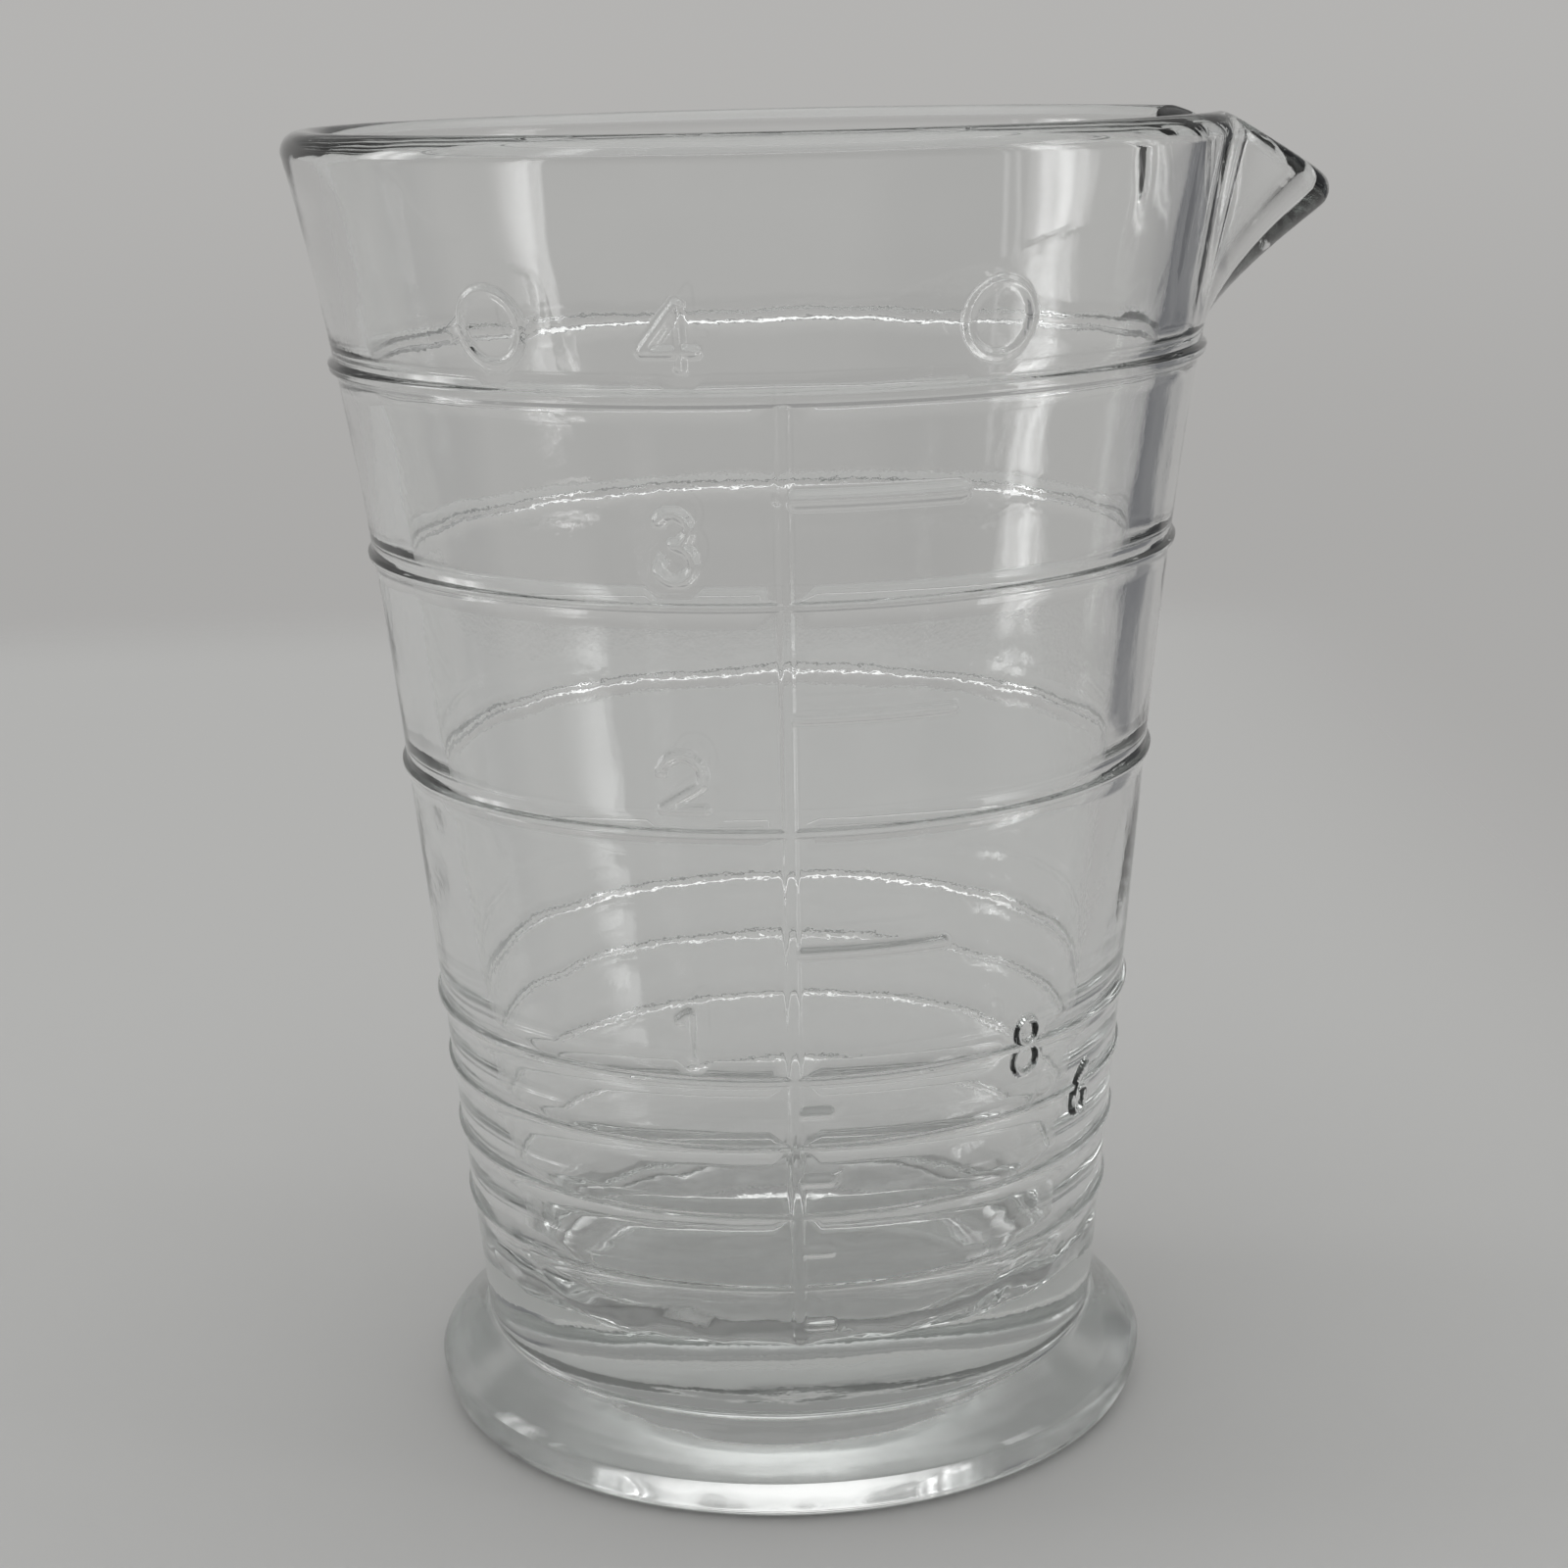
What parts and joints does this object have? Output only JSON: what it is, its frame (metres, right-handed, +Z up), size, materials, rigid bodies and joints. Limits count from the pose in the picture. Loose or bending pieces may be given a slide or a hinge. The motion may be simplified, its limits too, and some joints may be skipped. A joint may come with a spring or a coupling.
{
  "type": "measuring beaker",
  "caption": "Clear pressed-glass measuring beaker: tapered bowl on a thick round foot, V-shaped pouring spout, raised graduation rings and a front scale with plain numerals.",
  "frame": {"origin": "centre of the ring under the foot on which the glass stands, on the glass's axis", "axes": "+Z up the axis of the glass, +X towards the tip of the pouring spout, -Y towards the scale at the front"},
  "size_m": [0.0732, 0.0666, 0.0936],
  "materials": {
    "clear_glass": "clear pressed glass with a faint green-grey tint in its thick foot and a finely pebbled outside"
  },
  "bodies": {
    "root": {"bowl": "clear_glass", "rim": "clear_glass", "pouring_spout": "clear_glass", "foot": "clear_glass", "ring_4_ounce": "clear_glass", "ring_3_ounce": "clear_glass", "ring_2_ounce": "clear_glass", "ring_1_ounce": "clear_glass", "ring_6_dram": "clear_glass", "ring_4_dram": "clear_glass", "ring_2_dram": "clear_glass", "scale_spine": "clear_glass", "half_ounce_bar_3": "clear_glass", "half_ounce_bar_2": "clear_glass", "half_ounce_bar_1": "clear_glass", "dram_dashes": "clear_glass", "numeral_4_ounce": "clear_glass", "numeral_3_ounce": "clear_glass", "numeral_2_ounce": "clear_glass", "numeral_1_ounce": "clear_glass", "numeral_8_dram": "clear_glass", "numeral_6_dram": "clear_glass", "blank_roundels": "clear_glass"}
  },
  "joints": []
}
